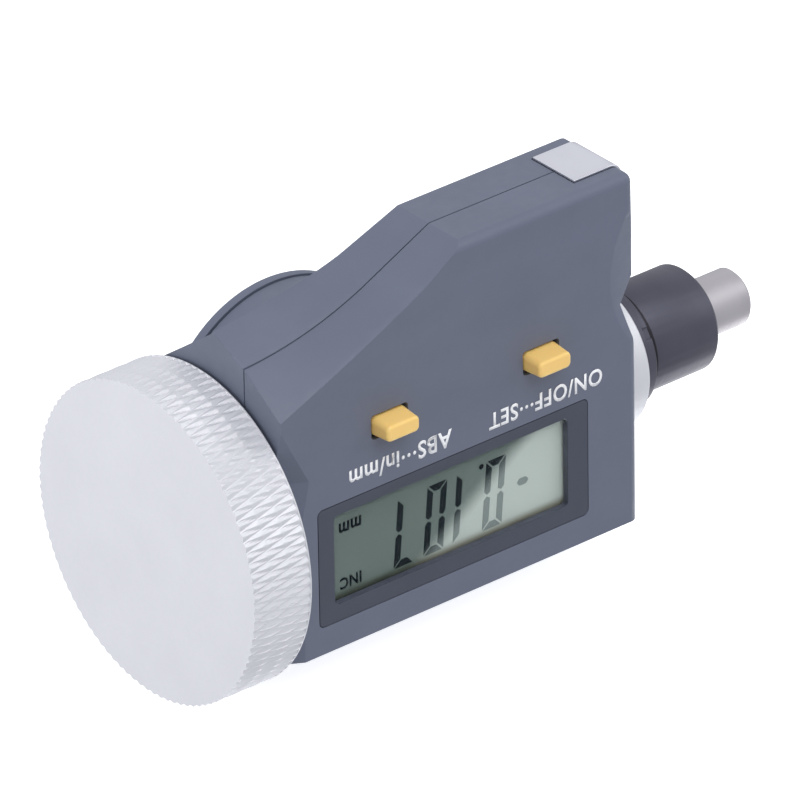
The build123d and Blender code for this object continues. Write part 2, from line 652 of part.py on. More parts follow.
with BuildPart() as guide_key:
    block((KEY_X[0] + RUN, KEY_X[1] - RUN), (-KEY_HALF + RUN, KEY_HALF - RUN),
          (KEYWAY_FLOOR + 0.15, SLEEVE_R - 0.2))
save(guide_key, "guide_key")


# ---------------------------------------------------------------- spindle

with BuildPart() as spindle:
    tube(SPINDLE_END + TIP_LENGTH, SPINDLE_SHOULDER, SPINDLE_R)
    tube(SPINDLE_SHOULDER, SPINDLE_REAR, SPINDLE_SCREW_R)
    block(KEYWAY_X, (-KEY_HALF - RUN, KEY_HALF + RUN), (KEYWAY_FLOOR, SPINDLE_R + 1),
          mode=Mode.SUBTRACT)
save(spindle, "spindle")

with BuildPart() as spindle_tip:
    tube(SPINDLE_END, SPINDLE_END + TIP_LENGTH, SPINDLE_R)
    chamfer(spindle_tip.edges().group_by(Axis.X)[0], 0.4)
save(spindle_tip, "spindle_tip")


# ---------------------------------------------------------------- drive and bearing

with BuildPart() as drive_nut:
    tube(NUT_X[0], BEARING_X[0] - 0.02, NUT_R)
    tube(BEARING_X[0] - 0.02, NUT_X[1], NUT_SEAT_R)
    tube(NUT_X[0] - 1, 33.0, SPINDLE_SCREW_R + RUN, mode=Mode.SUBTRACT)
    tube(33.0, NUT_X[1] + 1, SPINDLE_SCREW_R + 0.2, mode=Mode.SUBTRACT)
save(drive_nut, "drive_nut")

with BuildPart() as preload_washer:
    tube(BEARING_X[0] - 0.4, BEARING_X[0] - 0.1, BEARING_R, 5.3)
save(preload_washer, "preload_washer")

with BuildPart() as bearing_inner:
    tube(*BEARING_X, 4.5, NUT_SEAT_R + 0.02)
save(bearing_inner, "bearing_inner")

with BuildPart() as bearing_balls:
    for ball in range(BALL_COUNT):
        turn = radians(ball * 360 / BALL_COUNT)
        with Locations((sum(BEARING_X) / 2, 4.95 * cos(turn), 4.95 * sin(turn))):
            Sphere(BALL_R)
save(bearing_balls, "bearing_balls")

with BuildPart() as bearing_outer:
    tube(*BEARING_X, BEARING_R, 5.4)
save(bearing_outer, "bearing_outer")

with BuildPart() as retaining_ring:
    tube(*RETAINER_X, BEARING_R + 0.3, 5.2)
save(retaining_ring, "retaining_ring")

with BuildPart() as encoder_rotor:
    tube(50.4, 51.2, 6.2, NUT_SEAT_R + 0.02)
save(encoder_rotor, "encoder_rotor")

with BuildPart() as encoder_board:
    tube(52.0, 53.0, 6.2, NUT_SEAT_R + 0.5)
save(encoder_board, "encoder_board")


# ---------------------------------------------------------------- thimble

RECESS_R = 12.2
FACE_WALL = 2.5
HUB_R = 7.5

with BuildPart() as thimble:
    tube(THIMBLE_X0, THIMBLE_X1, THIMBLE_R)
    chamfer(thimble.edges().group_by(Axis.X)[0], 0.4)
    chamfer(thimble.edges().group_by(Axis.X)[-1], 0.25)
    tube(THIMBLE_X0 - 1, THIMBLE_X1 - FACE_WALL, RECESS_R, HUB_R, mode=Mode.SUBTRACT)
    tube(THIMBLE_X0, NUT_X[1] + 0.2, NUT_SEAT_R + 0.02, mode=Mode.SUBTRACT)
save(thimble, "thimble")
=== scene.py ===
from math import cos, pi, radians, sin, tan

import bmesh
import bpy
import numpy as np
from mathutils import Matrix, Vector


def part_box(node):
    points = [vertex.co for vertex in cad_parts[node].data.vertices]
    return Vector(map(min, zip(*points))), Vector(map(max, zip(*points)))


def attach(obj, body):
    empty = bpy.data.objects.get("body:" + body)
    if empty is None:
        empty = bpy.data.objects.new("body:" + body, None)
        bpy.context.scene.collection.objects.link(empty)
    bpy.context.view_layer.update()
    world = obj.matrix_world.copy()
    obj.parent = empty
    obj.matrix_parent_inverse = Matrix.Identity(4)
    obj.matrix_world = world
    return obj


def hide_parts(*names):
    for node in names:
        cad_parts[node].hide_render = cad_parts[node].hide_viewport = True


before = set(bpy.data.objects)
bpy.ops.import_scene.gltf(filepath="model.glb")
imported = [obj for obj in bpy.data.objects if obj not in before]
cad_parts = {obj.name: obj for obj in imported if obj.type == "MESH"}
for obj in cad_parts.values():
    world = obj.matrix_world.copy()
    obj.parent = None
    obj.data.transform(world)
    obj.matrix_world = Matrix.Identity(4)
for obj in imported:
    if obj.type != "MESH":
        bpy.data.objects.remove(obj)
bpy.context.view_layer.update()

MM = 0.001


# ---------------------------------------------------------------- camera

# The camera's place in millimetres, and which way its picture's right and top point.
CAMERA_PLACE = (714.5, -848.7, -627.9)
CAMERA_RIGHT = Vector((-0.77295, -0.63431, 0.01443))
CAMERA_UP = Vector((-0.32462, 0.37583, -0.86797))
CAMERA_LENS = 540.0


def make_camera():
    """A long lens in front of the object and over it: the object lies upside down."""
    camera = bpy.data.objects.new("camera", bpy.data.cameras.new("camera"))
    bpy.context.scene.collection.objects.link(camera)
    backward = CAMERA_RIGHT.cross(CAMERA_UP).normalized()
    turn = Matrix((CAMERA_RIGHT.normalized(), CAMERA_UP.normalized(), backward)).transposed()
    camera.matrix_world = Matrix.Translation(Vector(CAMERA_PLACE) * MM) @ turn.to_4x4()
    camera.data.lens = CAMERA_LENS
    camera.data.sensor_width = 36.0
    camera.data.clip_start = 0.05
    camera.data.clip_end = 20.0
    bpy.context.scene.camera = camera


make_camera()


# ---------------------------------------------------------------- material helpers

def srgb(red, green, blue):
    """A display colour from 0 to 255 as the linear colour that a shader takes."""
    linear = []
    for value in (red, green, blue):
        share = value / 255
        linear.append(share / 12.92 if share <= 0.04045 else ((share + 0.055) / 1.055) ** 2.4)
    return (*linear, 1.0)


def scaled(colour, factor):
    """The same colour, darker or lighter."""
    return (*[min(1.0, channel * factor) for channel in colour[:3]], 1.0)


# Where most of a noise texture's values lie.
NOISE_RANGE = (0.3, 0.7)


class Look:
    """A Principled material with helpers that add procedural detail in object space."""

    def __init__(self, name, colour, roughness, metallic=0.0):
        self.material = bpy.data.materials.new(name)
        self.material.use_nodes = True
        self.nodes = self.material.node_tree.nodes
        self.links = self.material.node_tree.links
        self.shader = self.nodes["Principled BSDF"]
        self.colour = colour
        self.roughness = roughness
        self.shader.inputs["Base Color"].default_value = colour
        self.shader.inputs["Roughness"].default_value = roughness
        self.shader.inputs["Metallic"].default_value = metallic

    def noise(self, grain_mm, stretch=(1, 1, 1), detail=3.0):
        """Noise whose features are grain_mm wide, finer along an axis by its stretch."""
        place = self.nodes.new("ShaderNodeTexCoord")
        mapping = self.nodes.new("ShaderNodeMapping")
        mapping.inputs["Scale"].default_value = [s / (grain_mm * MM) for s in stretch]
        texture = self.nodes.new("ShaderNodeTexNoise")
        texture.inputs["Scale"].default_value = 1.0
        texture.inputs["Detail"].default_value = detail
        self.links.new(place.outputs["Object"], mapping.inputs["Vector"])
        self.links.new(mapping.outputs["Vector"], texture.inputs["Vector"])
        return texture.outputs["Fac"]

    def colour_by(self, factor, stops):
        """The base colour follows a factor between two (place, colour) stops."""
        node = self.nodes.new("ShaderNodeValToRGB")
        for element, (place, colour) in zip(node.color_ramp.elements, stops):
            element.position = place
            element.color = colour
        self.links.new(factor, node.inputs["Fac"])
        self.links.new(node.outputs["Color"], self.shader.inputs["Base Color"])

    def reach(self, axis, span_mm):
        """A factor that goes from 0 to 1 along an object axis over a span."""
        place = self.nodes.new("ShaderNodeTexCoord")
        split = self.nodes.new("ShaderNodeSeparateXYZ")
        self.links.new(place.outputs["Object"], split.inputs["Vector"])
        node = self.nodes.new("ShaderNodeMapRange")
        node.interpolation_type = "SMOOTHSTEP"
        node.inputs["From Min"].default_value = span_mm[0] * MM
        node.inputs["From Max"].default_value = span_mm[1] * MM
        self.links.new(split.outputs[axis], node.inputs["Value"])
        return node.outputs["Result"]

    def shade(self, axis, span_mm, tone, until=None):
        """Paints shade: multiplies the base colour by a tone that sets in over a span and may end
        later.
        """
        base = self.shader.inputs["Base Color"]
        factor = self.reach(axis, span_mm)
        if until is not None:
            band = self.nodes.new("ShaderNodeMath")
            band.operation = "SUBTRACT"
            self.links.new(factor, band.inputs[0])
            self.links.new(self.reach(axis, until), band.inputs[1])
            factor = band.outputs["Value"]
        mix = self.nodes.new("ShaderNodeMixRGB")
        mix.blend_type = "MULTIPLY"
        mix.inputs["Color2"].default_value = tone
        self.links.new(factor, mix.inputs["Fac"])
        self.links.new(base.links[0].from_socket, mix.inputs["Color1"])
        self.links.new(mix.outputs["Color"], base)

    def vary_colour(self, factor, spread):
        """The base colour drifts by the spread either way as the factor goes from low to high."""
        low, high = NOISE_RANGE
        self.colour_by(factor, ((low, scaled(self.colour, 1 - spread)),
                                (high, scaled(self.colour, 1 + spread))))

    def vary_roughness(self, factor, spread):
        """The roughness drifts by the spread either way."""
        node = self.nodes.new("ShaderNodeMapRange")
        node.inputs["From Min"].default_value = NOISE_RANGE[0]
        node.inputs["From Max"].default_value = NOISE_RANGE[1]
        node.inputs["To Min"].default_value = self.roughness - spread
        node.inputs["To Max"].default_value = self.roughness + spread
        self.links.new(factor, node.inputs["Value"])
        self.links.new(node.outputs["Result"], self.shader.inputs["Roughness"])

    def bump(self, factor, height_mm, strength):
        """Relief of the given height."""
        node = self.nodes.new("ShaderNodeBump")
        node.inputs["Strength"].default_value = strength
        node.inputs["Distance"].default_value = height_mm * MM
        self.links.new(factor, node.inputs["Height"])
        self.links.new(node.outputs["Normal"], self.shader.inputs["Normal"])


def moulded(name, colour, roughness=0.5, grain=0.16, relief=0.012, spread=0.05):
    """Moulded plastic with a fine spark-eroded grain and faint flow marks."""
    look = Look(name, colour, roughness)
    flow = look.noise(grain_mm=7.0, stretch=(1, 1, 1.6), detail=4.0)
    look.vary_colour(flow, spread)
    look.vary_roughness(look.noise(grain_mm=1.3), spread=0.05)
    look.bump(look.noise(grain, detail=2.0), relief, strength=0.5)
    return look


def turned(name, colour, roughness, axis=0, pitch=0.09, relief=0.004, spread=0.05,
           metallic=1.0):
    """Metal turned on a lathe: fine rings square to the axis, and a faint stain."""
    look = Look(name, colour, roughness, metallic)
    stretch = [0.02, 0.02, 0.02]
    stretch[axis] = 1.0
    rings = look.noise(pitch, stretch=stretch, detail=4.0)
    look.vary_colour(look.noise(grain_mm=4.0), spread)
    look.vary_roughness(rings, spread=0.06)
    look.bump(rings, relief, strength=0.6)
    return look


def blasted(name, colour, roughness, grain=0.13, relief=0.01, spread=0.03, metallic=1.0):
    """Metal blasted with fine beads, then anodised."""
    look = Look(name, colour, roughness, metallic)
    look.vary_colour(look.noise(grain_mm=6.0, detail=5.0), spread)
    look.vary_roughness(look.noise(grain_mm=0.6), spread=0.04)
    look.bump(look.noise(grain, detail=2.0), relief, strength=0.6)
    return look


# ---------------------------------------------------------------- materials of the CAD nodes

SLATE = srgb(101, 107, 124)
# Painted shade of a groove where the stem meets its ring: where it sets in and ends, by X in
# millimetres.
GROOVE_SHADE_X = (-0.8, -0.65)
GROOVE_SHADE_END_X = (-0.3, -0.15)
GROOVE_SHADE_TONE = (0.22, 0.2, 0.2, 1.0)

housing = moulded("slate_housing", SLATE, roughness=0.52, grain=0.2, relief=0.014, spread=0.035)
bezel = moulded("bezel_plastic", srgb(64, 69, 83), roughness=0.5, grain=0.14, relief=0.006)
inner_plastic = moulded("inner_plastic", srgb(32, 33, 36), roughness=0.55)
amber = moulded("amber_button", srgb(250, 208, 126), roughness=0.36, grain=0.3, relief=0.006,
                spread=0.03)
amber.shader.inputs["Subsurface Weight"].default_value = 0.25
amber.shader.inputs["Subsurface Radius"].default_value = (0.0009, 0.0005, 0.0002)
amber.shader.inputs["Subsurface Scale"].default_value = 1.0
rubber = moulded("black_rubber", srgb(30, 30, 31), roughness=0.75, grain=0.1, relief=0.02)

board = moulded("board_laminate", srgb(24, 84, 52), roughness=0.4, grain=0.25, relief=0.008)
chip = moulded("chip_epoxy", srgb(28, 28, 30), roughness=0.6, grain=0.08, relief=0.01)
flex = moulded("flex_polyimide", srgb(170, 96, 30), roughness=0.35, grain=0.4, relief=0.004)

black_stem = turned("blackened_stem", srgb(83, 83, 95), roughness=0.46, pitch=0.12,
                    relief=0.001, metallic=0.55)
# The groove's shade at the stem's root is painted into the stem's colour as a dark band.
black_stem.shade("X", GROOVE_SHADE_X, GROOVE_SHADE_TONE, until=GROOVE_SHADE_END_X)
spindle_steel = turned("ground_spindle", srgb(189, 185, 189), roughness=0.5, pitch=0.05,
                       relief=0.0005, spread=0.02, metallic=0.75)
carbide = turned("carbide_tip", srgb(187, 183, 187), roughness=0.44, pitch=0.03, relief=0.0004,
                 spread=0.03, metallic=0.75)
sleeve_steel = turned("sleeve_steel", srgb(170, 170, 172), roughness=0.35)
spring_steel = turned("spring_steel", srgb(196, 192, 184), roughness=0.3)
screw_steel = turned("screw_steel", srgb(150, 150, 152), roughness=0.35, axis=1)
battery_steel = turned("battery_steel", srgb(205, 205, 207), roughness=0.25, axis=1)
gold = turned("gold_plate", srgb(232, 190, 100), roughness=0.25)
port_steel = turned("brushed_port", srgb(222, 222, 229), roughness=0.34, axis=2, pitch=0.06,
                    relief=0.002, spread=0.02)
silver = blasted("satin_aluminium", srgb(226, 226, 230), roughness=0.6, spread=0.015,
                 metallic=0.7)
rotor = blasted("rotor_plate", srgb(196, 170, 104), roughness=0.4)


# ---------------------------------------------------------------- materials of the display

# The panel and the ink in their own deep tone, and paler where a reflection is painted on them.
LCD_DEEP = srgb(84, 95, 92)
LCD_PAINTED_REFLECTION = srgb(153, 162, 158)
INK_DEEP = srgb(10, 18, 24)
INK_PAINTED_REFLECTION = srgb(106, 115, 114)
# The sheen of the panel and its segments, which lie under the window.
FAINT_SHEEN = 0.05
WINDOW_TINT = (0.97, 0.975, 0.97, 1.0)
WINDOW_IOR = 1.05

# The border of the reflection painted on the display, between its deep and pale zones: its normal
# in (x, z), its distance from the frame's origin along that normal, and half the border's width,
# in millimetres.
REFLECTION_BORDER_NORMAL = (-0.56, 0.828)
REFLECTION_BORDER_PLACE = -14.6
REFLECTION_BORDER_HALF = 1.6
# How much the panel's grain lightens a zone.
ZONE_GRAIN = 0.1
# The bezel's shadow, painted soft on the panel, from where it begins to its edge, in millimetres.
EDGE_SHADE_Z = (6.2, 7.6)
EDGE_SHADE_TONE = (0.46, 0.4, 0.32, 1.0)


def painted_reflection_zone(look):
    """A factor that goes from 0 in the display's deep zone to 1 in its pale zone, where a
    reflection is painted, plus the panel's grain.
    """
    place = look.nodes.new("ShaderNodeTexCoord")
    along = look.nodes.new("ShaderNodeVectorMath")
    along.operation = "DOT_PRODUCT"
    along.inputs[1].default_value = (REFLECTION_BORDER_NORMAL[0], 0.0, REFLECTION_BORDER_NORMAL[1])
    look.links.new(place.outputs["Object"], along.inputs[0])
    blend = look.nodes.new("ShaderNodeMapRange")
    blend.interpolation_type = "SMOOTHSTEP"
    blend.inputs["From Min"].default_value = (REFLECTION_BORDER_PLACE - REFLECTION_BORDER_HALF) * MM
    blend.inputs["From Max"].default_value = (REFLECTION_BORDER_PLACE + REFLECTION_BORDER_HALF) * MM
    look.links.new(along.outputs["Value"], blend.inputs["Value"])
    grain = look.nodes.new("ShaderNodeMath")
    grain.operation = "MULTIPLY_ADD"
    grain.inputs[1].default_value = ZONE_GRAIN
    look.links.new(look.noise(grain_mm=0.5, detail=4.0), grain.inputs[0])
    look.links.new(blend.outputs["Result"], grain.inputs[2])
    return grain.outputs["Value"]


def lcd_look():
    """The panel's reflector with a pearly grain, with a painted reflection that makes one zone
    pale and the bezel's painted shadow along one edge.
    """
    look = Look("lcd_reflector", LCD_DEEP, roughness=0.45)
    look.colour_by(painted_reflection_zone(look), ((0.05, LCD_DEEP), (1.0, LCD_PAINTED_REFLECTION)))
    # The bezel's shadow is painted along the panel's edge.
    look.shade("Z", EDGE_SHADE_Z, EDGE_SHADE_TONE)
    look.vary_roughness(look.noise(grain_mm=3.0), spread=0.04)
    look.bump(look.noise(grain_mm=0.12), height_mm=0.004, strength=0.4)
    look.shader.inputs["Specular IOR Level"].default_value = FAINT_SHEEN
    return look


def window_look():
    """Clear acrylic with hairline wipe marks, coated so that it mirrors little."""
    look = Look("window_acrylic", WINDOW_TINT, roughness=0.03)
    look.shader.inputs["Transmission Weight"].default_value = 1.0
    look.shader.inputs["IOR"].default_value = WINDOW_IOR
    look.vary_roughness(look.noise(grain_mm=6.0), spread=0.02)
    return look


lcd = lcd_look()
window = window_look()


# ---------------------------------------------------------------- which node wears which look

LOOKS = {
    "front_shell": housing,
    "rear_shell": housing,
    "battery_cover": housing,
    "display_bezel": bezel,
    "display_window": window,
    "lcd_panel": lcd,
    "lcd_frame": inner_plastic,
    "contact_strips": rubber,
    "main_board": board,
    "controller_chip": chip,
    "board_screws": screw_steel,
    "button_domes": spring_steel,
    "power_button": amber,
    "mode_button": amber,
    "data_port_cover": port_steel,
    "data_contact_block": inner_plastic,
    "data_contact_pins": gold,
    "data_flex": flex,
    "battery": battery_steel,
    "battery_contact_base": spring_steel,
    "battery_contact_side": spring_steel,
    "cover_seal": rubber,
    "case_screws": screw_steel,
    "stem": black_stem,
    "stem_ring": black_stem,
    "stem_flange": silver,
    "spindle_sleeve": sleeve_steel,
    "guide_key": sleeve_steel,
    "spindle": spindle_steel,
    "spindle_tip": carbide,
    "drive_nut": sleeve_steel,
    "preload_washer": spring_steel,
    "bearing_inner": sleeve_steel,
    "bearing_balls": spindle_steel,
    "bearing_outer": sleeve_steel,
    "retaining_ring": spring_steel,
    "encoder_rotor": rotor,
    "encoder_board": board,
    "thimble": silver,
}

for node_name, look in LOOKS.items():
    for material_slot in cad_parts[node_name].material_slots:
        material_slot.material = look.material


# ---------------------------------------------------------------- softened edges of CAD nodes

SOFT_EDGES_MM = {
    "front_shell": 0.28,
    "rear_shell": 0.2,
    "battery_cover": 0.12,
    "display_bezel": 0.06,
    "data_port_cover": 0.12,
    "stem": 0.1,
    "stem_ring": 0.08,
    "stem_flange": 0.08,
}
# The mesh's corners are joined within this distance, in metres, before they are rounded.
WELD_DISTANCE = 1e-6
SHARP_ANGLE_DEG = 24


def soften(node, width_mm):
    """Rounds a CAD node's sharp edges by a hair, as moulding or deburring leaves them."""
    weld = node.modifiers.new("weld", "WELD")
    weld.merge_threshold = WELD_DISTANCE
    bevel = node.modifiers.new("edges", "BEVEL")
    bevel.width = width_mm * MM
    bevel.segments = 2
    bevel.limit_method = "ANGLE"
    bevel.angle_limit = radians(SHARP_ANGLE_DEG)
    bevel.harden_normals = True
    bevel.miter_outer = "MITER_ARC"


for node_name, width in SOFT_EDGES_MM.items():
    soften(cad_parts[node_name], width)

# The clear window casts no shadow on the panel.
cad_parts["display_window"].visible_shadow = False


# ---------------------------------------------------------------- pieces made here

def add_piece(name, mesh, look, body):
    """A new object from a mesh, with its material, riding on a body."""
    mesh.materials.append(look.material)
    piece = bpy.data.objects.new(name, mesh)
    bpy.context.scene.collection.objects.link(piece)
    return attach(piece, body)


# ---------------------------------------------------------------- knurled thimble

# Diamonds round the rim, the length and the depth of one, and grid steps in half of one.
KNURL_TEETH = 98
KNURL_PITCH_MM = 5.0
KNURL_DEPTH_MM = 0.21
KNURL_STEPS = 4
# Height of a diamond's flank by steps from its tip to the groove.
KNURL_FLANK = (0.90, 0.82, 0.52, 0.24, 0.0)
# The random part of a flank's height.
KNURL_WEAR = 0.025
# From the thimble's rear to the knurl, and from the knurl to the plain band behind it.
KNURL_REAR_MM = 0.3
KNURL_RUN_OUT_MM = 0.05
RIM_CHAMFER_MM = 0.15
KNURL_SEED = 7
# The end face's inner rings, as shares of the thimble's radius.
FACE_RINGS = (0.965, 0.5, 0.08)
# The rear's recess, hub and seat for the drive nut.
FACE_WALL_MM = 2.5
RECESS_R_MM = 12.2
HUB_R_MM = 7.5
SEAT_R_MM = 3.92
SEAT_STEP_MM = 0.2
CENTRE_R_MM = 0.5


def knurl_steps(across, along):
    """Steps from the nearest diamond's tip at a grid point, up to KNURL_STEPS in a groove."""
    period = 2 * KNURL_STEPS
    du = (across + along + KNURL_STEPS) % period
    dv = (across - along + KNURL_STEPS) % period
    near_u = abs(du - KNURL_STEPS)
    near_v = abs(dv - KNURL_STEPS)
    return max(near_u, near_v)


def make_thimble():
    """A lathe-turned disc with a diamond knurl round its rim, cut off square at the end face."""
    low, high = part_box("thimble")
    outer = high.z
    rear = low.x + KNURL_REAR_MM * MM
    step = KNURL_PITCH_MM * MM / (2 * KNURL_STEPS)
    rows = round((high.x - rear) / step)
    step = (high.x - rear) / rows
    count = 2 * KNURL_TEETH * KNURL_STEPS
    draw = np.random.default_rng(KNURL_SEED)
    wear = draw.uniform(-KNURL_WEAR, KNURL_WEAR, (rows + 1, count))
    build = bmesh.new()

    def ring(x, radius_of):
        made = []
        for i in range(count):
            turn = 2 * pi * i / count
            radius = radius_of(i)
            made.append(build.verts.new((x, radius * cos(turn), radius * sin(turn))))
        return made

    def join(first, second):
        for i in range(count):
            j = (i + 1) % count
            build.faces.new((first[i], first[j], second[j], second[i]))

    def knurl_radius(i, k):
        steps = knurl_steps(i, k)
        height = np.interp(steps, range(KNURL_STEPS + 1), KNURL_FLANK)
        if 0 < steps < KNURL_STEPS:
            height += wear[k, i]
        return outer - KNURL_DEPTH_MM * MM * (1 - min(1.0, height / KNURL_FLANK[0]))

    knurl = [ring(high.x - k * step, lambda i, k=k: knurl_radius(i, k)) for k in range(rows + 1)]
    for k in range(rows):
        for i in range(count):
            j = (i + 1) % count
            a, b, c, d = knurl[k][i], knurl[k][j], knurl[k + 1][j], knurl[k + 1][i]
            if knurl_steps(i, k) == knurl_steps(i + 1, k + 1):
                build.faces.new((a, b, c))
                build.faces.new((a, c, d))
            else:
                build.faces.new((a, b, d))
                build.faces.new((b, c, d))
    # The end face, from the knurl's cut edge to the centre.
    previous = knurl[0]
    for share in FACE_RINGS:
        inner = ring(high.x, lambda i, r=share: outer * r)
        join(inner, previous)
        previous = inner
    build.faces.new(previous)
    # The rear: a plain chamfered band, the recess and the seat for the nut.
    floor_x = high.x - FACE_WALL_MM * MM
    seat_x = floor_x + SEAT_STEP_MM * MM
    profile = (
        (rear - KNURL_RUN_OUT_MM * MM, outer),
        (low.x + RIM_CHAMFER_MM * MM, outer),
        (low.x, outer - RIM_CHAMFER_MM * MM),
        (low.x, RECESS_R_MM * MM),
        (floor_x, RECESS_R_MM * MM),
        (floor_x, HUB_R_MM * MM),
        (low.x, HUB_R_MM * MM),
        (low.x, SEAT_R_MM * MM),
        (seat_x, SEAT_R_MM * MM),
        (seat_x, CENTRE_R_MM * MM),
    )
    previous = knurl[-1]
    for x, radius in profile:
        lower = ring(x, lambda i, r=radius: r)
        join(previous, lower)
        previous = lower
    build.faces.new(previous[::-1])
    bmesh.ops.recalc_face_normals(build, faces=build.faces)
    mesh = bpy.data.meshes.new("knurled_thimble")
    build.to_mesh(mesh)
    build.free()
    piece = add_piece("knurled_thimble", mesh, silver, "thimble")
    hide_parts("thimble")


make_thimble()


# ---------------------------------------------------------------- display's segments

DIGIT_LEFT_X = 25.3
DIGIT_PITCH = 3.97
DIGIT_BASE_Z = -1.4
DIGIT_WIDTH = 2.65
DIGIT_HEIGHT = 8.1
STROKE = 0.81
# The gap between segments, and the gap at a digit's corner as a multiple of it.
MITRE = 0.1
CORNER_CUT = 1.4
# Where a segment's pointed end starts on its outer and its inner side, and the point's
# place across it, as shares of the stroke.
END_OUTER = 0.6
END_INNER = 0.45
SLANT = tan(radians(5.2))
INK_MM = 0.03
SEGMENTS = {
    "0": "abcdef",
    "1": "bc",
    "7": "abc",
}
DIGITS = "0107"
# The minus sign's outline, then the decimal point, a polygon close to a circle.
MINUS = ((22.3, 2.7), (22.65, 3.12), (23.55, 3.12), (23.85, 2.7), (23.55, 2.28), (22.65, 2.28))
POINT_X = 28.65
POINT_Z = -1.1
POINT_R = 0.32
POINT_SIDES = 16


def segment_outlines():
    """The six outer segments' outlines in a cell, as (x, z) from its lower left corner."""
    w, h, t = DIGIT_WIDTH, DIGIT_HEIGHT, STROKE
    middle = h / 2
    corner = MITRE * CORNER_CUT
    outer = t * END_OUTER
    inner = t * END_INNER
    upper_right = ((w, h - corner), (w, middle + outer), (w - inner, middle + MITRE),
                   (w - t, middle + inner), (w - t, h - t - corner))
    top = ((corner, h), (w - corner, h), (w - t - corner, h - t), (t + corner, h - t))

    def mirror_x(points):
        return tuple((w - x, z) for x, z in points)

    def mirror_z(points):
        return tuple((x, h - z) for x, z in points)

    return {
        "a": top,
        "b": upper_right,
        "c": mirror_z(upper_right),
        "d": mirror_z(top),
        "e": mirror_z(mirror_x(upper_right)),
        "f": mirror_x(upper_right),
    }


def plate_mesh(name, outlines, front_y, thickness):
    """Thin plates from (x, z) outlines in millimetres, their fronts at front_y facing -Y."""
    build = bmesh.new()
    for outline in outlines:
        corners = [build.verts.new((x * MM, (front_y + thickness) * MM, z * MM))
                   for x, z in outline]
        face = build.faces.new(corners)
        raised = bmesh.ops.extrude_face_region(build, geom=[face])
        lifted = [item for item in raised["geom"] if isinstance(item, bmesh.types.BMVert)]
        bmesh.ops.translate(build, verts=lifted, vec=(0, -thickness * MM, 0))
    bmesh.ops.recalc_face_normals(build, faces=build.faces)
    mesh = bpy.data.meshes.new(name)
    build.to_mesh(mesh)
    build.free()
    return mesh


def segment_ink():
    """Liquid crystal switched dark, with the panel's faint grain, and paler where a reflection is
    painted on it.
    """
    look = Look("lcd_segment", INK_DEEP, roughness=0.35)
    # The ink turns pale in the zone where a reflection is painted on the display.
    look.colour_by(painted_reflection_zone(look), ((0.1, INK_DEEP), (1.0, INK_PAINTED_REFLECTION)))
    look.vary_roughness(look.noise(grain_mm=2.0), spread=0.05)
    look.shader.inputs["Specular IOR Level"].default_value = FAINT_SHEEN
    return look


ink = segment_ink()
panel_front_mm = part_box("lcd_panel")[0].y / MM


def make_digits():
    """The digits, the minus sign and the decimal point."""
    shapes = segment_outlines()
    outlines = []
    for place, digit in enumerate(DIGITS):
        left = DIGIT_LEFT_X + place * DIGIT_PITCH
        for key in SEGMENTS[digit]:
            outlines.append([(left + x + z * SLANT, DIGIT_BASE_Z + z) for x, z in shapes[key]])
    outlines.append(MINUS)
    turns = [2 * pi * side / POINT_SIDES for side in range(POINT_SIDES)]
    outlines.append([(POINT_X + POINT_R * cos(turn), POINT_Z + POINT_R * sin(turn))
                     for turn in turns])
    mesh = plate_mesh("lcd_segments", outlines, panel_front_mm - INK_MM, INK_MM)
    piece = add_piece("lcd_segments", mesh, ink, "housing")


make_digits()


# ---------------------------------------------------------------- lettering

# Each word as its name, its text and its spans along X and Z in millimetres.
LABELS = (
    ("power_label", "ON/OFF···SET", (12.95, 28.3), (-7.7, -5.7)),
    ("mode_label", "ABS···in/mm", (33.35, 47.05), (-7.95, -5.85)),
)
UNITS = (
    ("lcd_unit_inc", "INC", (44.9, 47.75), (5.1, 6.5)),
    ("lcd_unit_mm", "mm", (44.8, 47.8), (-1.5, -0.3)),
)
LETTER_SPACING = 1.08
LABEL_WEIGHT = 0.02
UNIT_WEIGHT = 0.03
# Points of an outline closer than this, in the font's units, become one.
OUTLINE_WELD = 1e-5
PRINT_MM = 0.02


def text_piece(name, words, x_span, z_span, front_y, thickness, look, weight):
    """Words as thin plates, fitted to a rectangle, their fronts at front_y facing -Y."""
    curve = bpy.data.curves.new(name, "FONT")
    curve.body = words
    curve.offset = weight
    curve.space_character = LETTER_SPACING
    curve.resolution_u = 4
    source = bpy.data.objects.new(name + "_source", curve)
    bpy.context.scene.collection.objects.link(source)
    bpy.context.view_layer.update()
    flat = bpy.data.meshes.new_from_object(
        source.evaluated_get(bpy.context.evaluated_depsgraph_get()))
    bpy.data.objects.remove(source)
    build = bmesh.new()
    build.from_mesh(flat)
    bpy.data.meshes.remove(flat)
    bmesh.ops.remove_doubles(build, verts=build.verts, dist=OUTLINE_WELD)
    points = np.array([vert.co for vert in build.verts])
    low, high = points.min(0), points.max(0)
    stretch_x = (x_span[1] - x_span[0]) / (high[0] - low[0])
    stretch_z = (z_span[1] - z_span[0]) / (high[1] - low[1])
    for vert in build.verts:
        x = x_span[0] + (vert.co.x - low[0]) * stretch_x
        z = z_span[0] + (vert.co.y - low[1]) * stretch_z
        vert.co = Vector((x, front_y + thickness, z)) * MM
    raised = bmesh.ops.extrude_face_region(build, geom=build.faces[:], use_keep_orig=True)
    lifted = [item for item in raised["geom"] if isinstance(item, bmesh.types.BMVert)]
    bmesh.ops.translate(build, verts=lifted, vec=(0, -thickness * MM, 0))
    bmesh.ops.recalc_face_normals(build, faces=build.faces)
    mesh = bpy.data.meshes.new(name)
    build.to_mesh(mesh)
    build.free()
    return add_piece(name, mesh, look, "housing")


